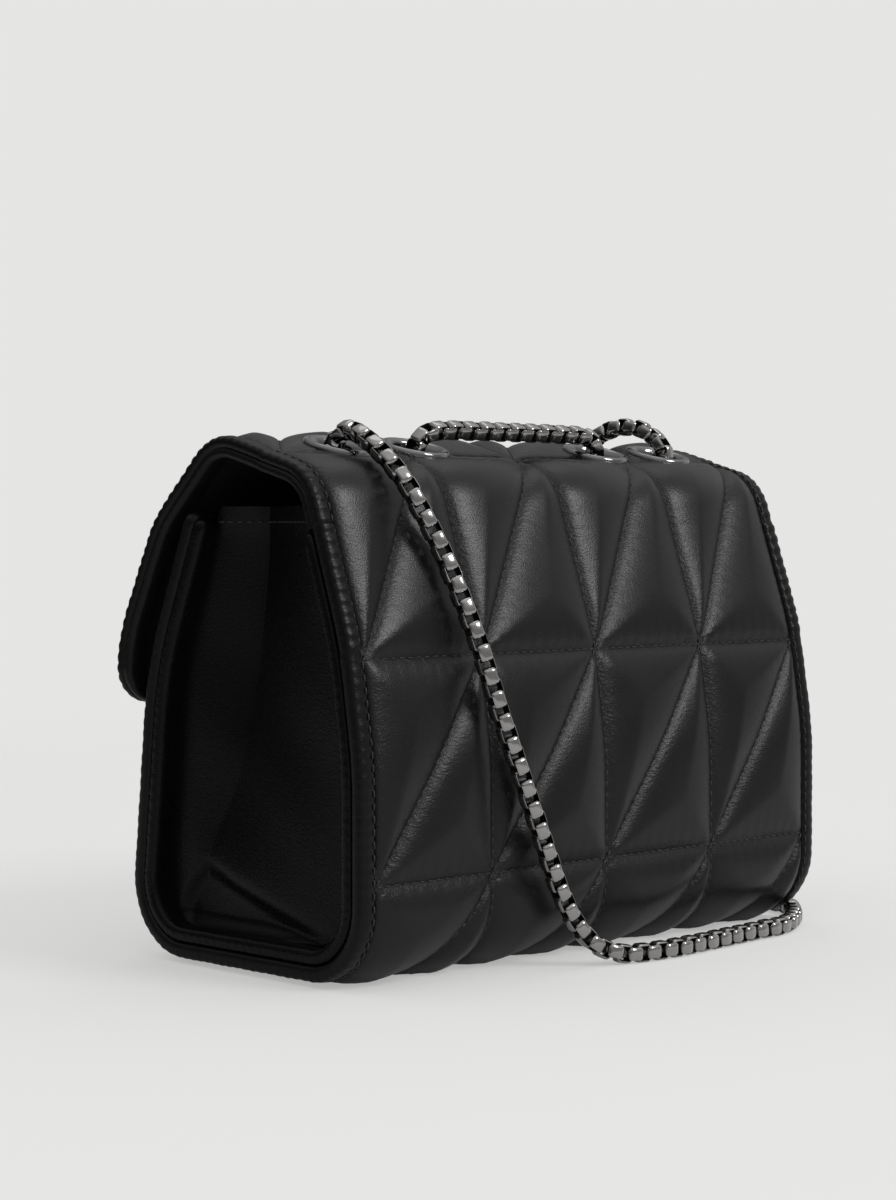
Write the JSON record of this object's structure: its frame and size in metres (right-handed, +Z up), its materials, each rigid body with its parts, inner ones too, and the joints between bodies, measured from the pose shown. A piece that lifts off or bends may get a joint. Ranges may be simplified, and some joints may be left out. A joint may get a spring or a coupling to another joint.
{
  "type": "chain shoulder bag",
  "caption": "Quilted shoulder bag with a fold-over flap on a rear crease, folded end gussets, lined compartment and a box chain through eyelets.",
  "frame": {"origin": "on the standing surface, under the middle of the bag without its long chain run", "axes": "+X along the width to the wearer's right as seen from the flap's side, +Y from the flap's front towards the back panel, +Z up"},
  "size_m": [0.227, 0.1782, 0.1727],
  "materials": {
    "quilted_leather": "padded and quilted smooth black leather with a soft sheen",
    "edge_leather": "bound and stitched black edge, gathered in small regular puckers",
    "gusset_leather": "smooth black leather, soft sheen, folded inwards",
    "lining_fabric": "plain black woven lining",
    "stiffener_board": "pressed fibre board, hidden between skin and lining",
    "chain_metal": "polished dark nickel",
    "eyelet_metal": "polished dark nickel",
    "washer_metal": "plain dark nickel",
    "magnet_metal": "plain plated disc, hidden in the padding"
  },
  "bodies": {
    "body": {"back_panel": "quilted_leather", "bottom_panel": "quilted_leather", "back_board": "stiffener_board", "base_board": "stiffener_board", "back_lining": "lining_fabric", "bottom_lining": "lining_fabric", "slip_pocket": "lining_fabric", "gusset_left": "gusset_leather", "gusset_right": "gusset_leather", "gusset_lining_left": "lining_fabric", "gusset_lining_right": "lining_fabric", "body_binding_left": "edge_leather", "body_binding_right": "edge_leather", "chain_strap": "chain_metal", "chain_rise": "chain_metal"},
    "front": {"front_panel": "quilted_leather", "front_board": "stiffener_board", "front_lining": "lining_fabric", "front_magnet": "magnet_metal", "front_binding": "edge_leather"},
    "flap": {"flap_panel": "quilted_leather", "flap_board": "stiffener_board", "flap_lining": "lining_fabric", "flap_binding": "edge_leather", "flap_magnet": "magnet_metal", "eyelet_right_outer": "eyelet_metal", "eyelet_right_inner": "eyelet_metal", "eyelet_left_inner": "eyelet_metal", "eyelet_left_outer": "eyelet_metal", "washer_right_outer": "washer_metal", "washer_right_inner": "washer_metal", "washer_left_inner": "washer_metal", "washer_left_outer": "washer_metal", "chain_underrun_left": "chain_metal", "chain_underrun_right": "chain_metal"},
    "chain_span": {"chain_top_span": "chain_metal"}
  },
  "joints": [
    {"name": "flap_hinge", "type": "hinge", "parent": "body", "child": "flap", "pos_m": [0, 0.04142, 0.1362], "axis": [-1, 0, 0], "range_deg": [0, 120], "deforming": ["chain_strap", "chain_rise"]},
    {"name": "front_tilt", "type": "hinge", "parent": "body", "child": "front", "pos_m": [0, -0.05047, 0.02749], "axis": [1, 0, 0], "range_deg": [0, 9], "deforming": ["gusset_left", "gusset_right", "gusset_lining_left", "gusset_lining_right"]},
    {"name": "span_lift", "type": "slide", "parent": "flap", "child": "chain_span", "axis": [0, 0.26, 0.9656], "range_m": [0, 0.01], "deforming": ["chain_underrun_left", "chain_underrun_right"]}
  ],
  "couplings": [
    {"joint": "front_tilt", "follows": "flap_hinge", "ratio": 0.075}
  ]
}
